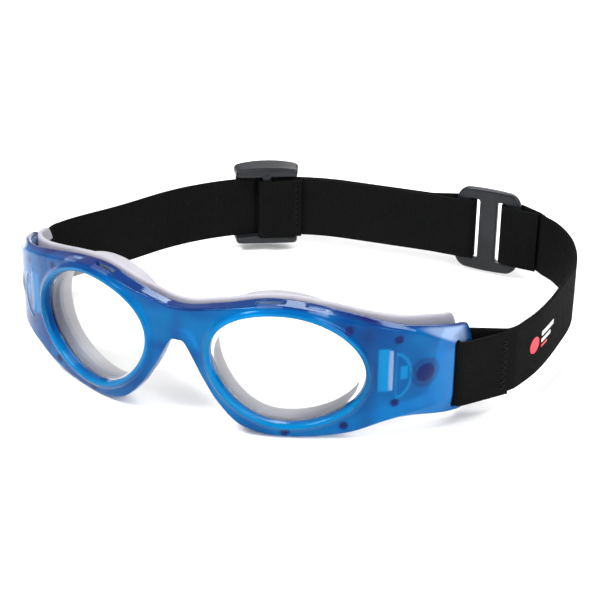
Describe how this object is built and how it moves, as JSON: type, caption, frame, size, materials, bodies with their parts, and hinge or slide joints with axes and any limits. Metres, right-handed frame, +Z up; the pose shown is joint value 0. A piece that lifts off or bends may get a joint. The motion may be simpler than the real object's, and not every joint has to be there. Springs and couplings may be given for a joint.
{
  "type": "sports protective goggles",
  "caption": "Wrap-around translucent sports goggles with clear lenses, a soft face gasket and an elastic headband that a slider adjusts.",
  "frame": {"origin": "middle of the footprint, on the surface that the goggles stand on", "axes": "+X towards the wearer's side with the ring buckle, +Y from the lenses towards the back of the head, +Z up"},
  "size_m": [0.1982, 0.161, 0.052],
  "materials": {
    "frame_blue": "glossy translucent blue polycarbonate",
    "gasket_milky": "milky translucent silicone, satin",
    "lens_clear": "clear polished polycarbonate",
    "stud_dark": "satin dark red-purple plastic",
    "webbing_black": "woven black elastic webbing with fine cross ribs",
    "thread_black": "black sewing thread",
    "buckle_grey": "satin charcoal moulded plastic",
    "print_red": "flat heat-transfer print, red with white"
  },
  "bodies": {
    "front": {"front_frame": "frame_blue", "face_gasket": "gasket_milky", "lens_right": "lens_clear", "lens_left": "lens_clear", "temple_stud_right": "stud_dark", "temple_stud_left": "stud_dark", "right_wing_loop": "webbing_black", "left_wing_loop": "webbing_black", "right_wing_stitching": "thread_black", "left_wing_stitching": "thread_black"},
    "headband": {"right_strap_front": "webbing_black", "left_strap_front": "webbing_black", "strap_print": "print_red"},
    "back_band": {"right_strap_rear": "webbing_black", "right_ring_loop": "webbing_black", "right_ring_stitching": "thread_black", "back_band_outer": "webbing_black", "back_band_inner": "webbing_black", "left_ring_loop": "webbing_black"},
    "slider": {"slider_buckle": "buckle_grey", "slider_loop": "webbing_black", "slider_stitching": "thread_black"},
    "ring": {"ring_buckle": "buckle_grey"}
  },
  "joints": [
    {"name": "headband_tilt", "type": "hinge", "parent": "front", "child": "headband", "pos_m": [-0.008, -0.0295, 0.018], "axis": [1, 0, 0], "range_deg": [-10, 20], "deforming": ["right_wing_loop", "left_wing_loop", "right_wing_stitching", "left_wing_stitching"]},
    {"name": "headband_stretch", "type": "slide", "parent": "headband", "child": "back_band", "axis": [0, 1, 0], "range_m": [0, 0.025], "stiffness_N_per_m": 160},
    {"name": "slider_adjust", "type": "hinge", "parent": "back_band", "child": "slider", "pos_m": [0.00061, -0.01248, 0.018], "axis": [0, 0, 1], "range_deg": [-13, 20], "deforming": ["back_band_inner"]},
    {"name": "ring_swivel", "type": "hinge", "parent": "back_band", "child": "ring", "pos_m": [0.05151, 0.07712, 0.018], "axis": [0, 0, 1], "range_deg": [-15, 15], "deforming": ["right_ring_loop", "left_ring_loop"]}
  ]
}
